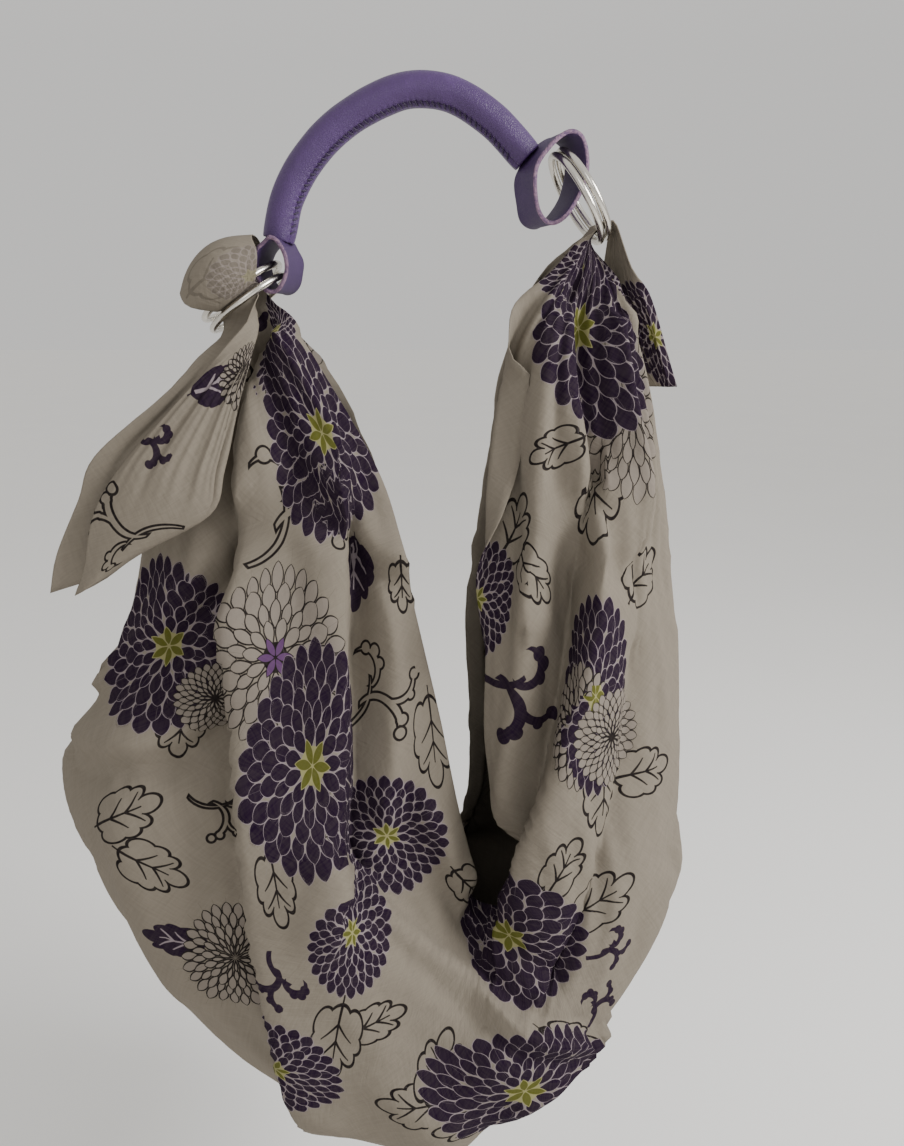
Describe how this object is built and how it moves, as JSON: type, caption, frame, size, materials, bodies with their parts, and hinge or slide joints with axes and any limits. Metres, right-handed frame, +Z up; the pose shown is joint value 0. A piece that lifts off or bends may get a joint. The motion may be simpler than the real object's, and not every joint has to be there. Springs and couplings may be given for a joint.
{
  "type": "furoshiki bag",
  "caption": "Printed cotton wrapping cloth hung corner to corner as a drop-shaped shoulder bag from a rolled leather grip with paired steel rings.",
  "frame": {"origin": "the crown of the rolled grip, on its centre line, where a hand holds it", "axes": "+Z up out of the grip, -Y towards the printed side that faces front, +X from the side with the big turned-back loop to the side with the short tail"},
  "size_m": [0.3542, 0.2132, 0.5899],
  "materials": {
    "printed_cotton": "plain-woven cotton, matte, printed on one side with dark purple flowers",
    "purple_leather": "smooth dyed leather, soft sheen",
    "steel_wire": "polished nickel-plated wire"
  },
  "bodies": {
    "root": {"cloth": "printed_cotton", "grip": "purple_leather", "left_tab": "purple_leather", "right_tab": "purple_leather", "left_ring_lower": "steel_wire", "left_ring_upper": "steel_wire", "right_ring_lower": "steel_wire", "right_ring_upper": "steel_wire"}
  },
  "joints": []
}
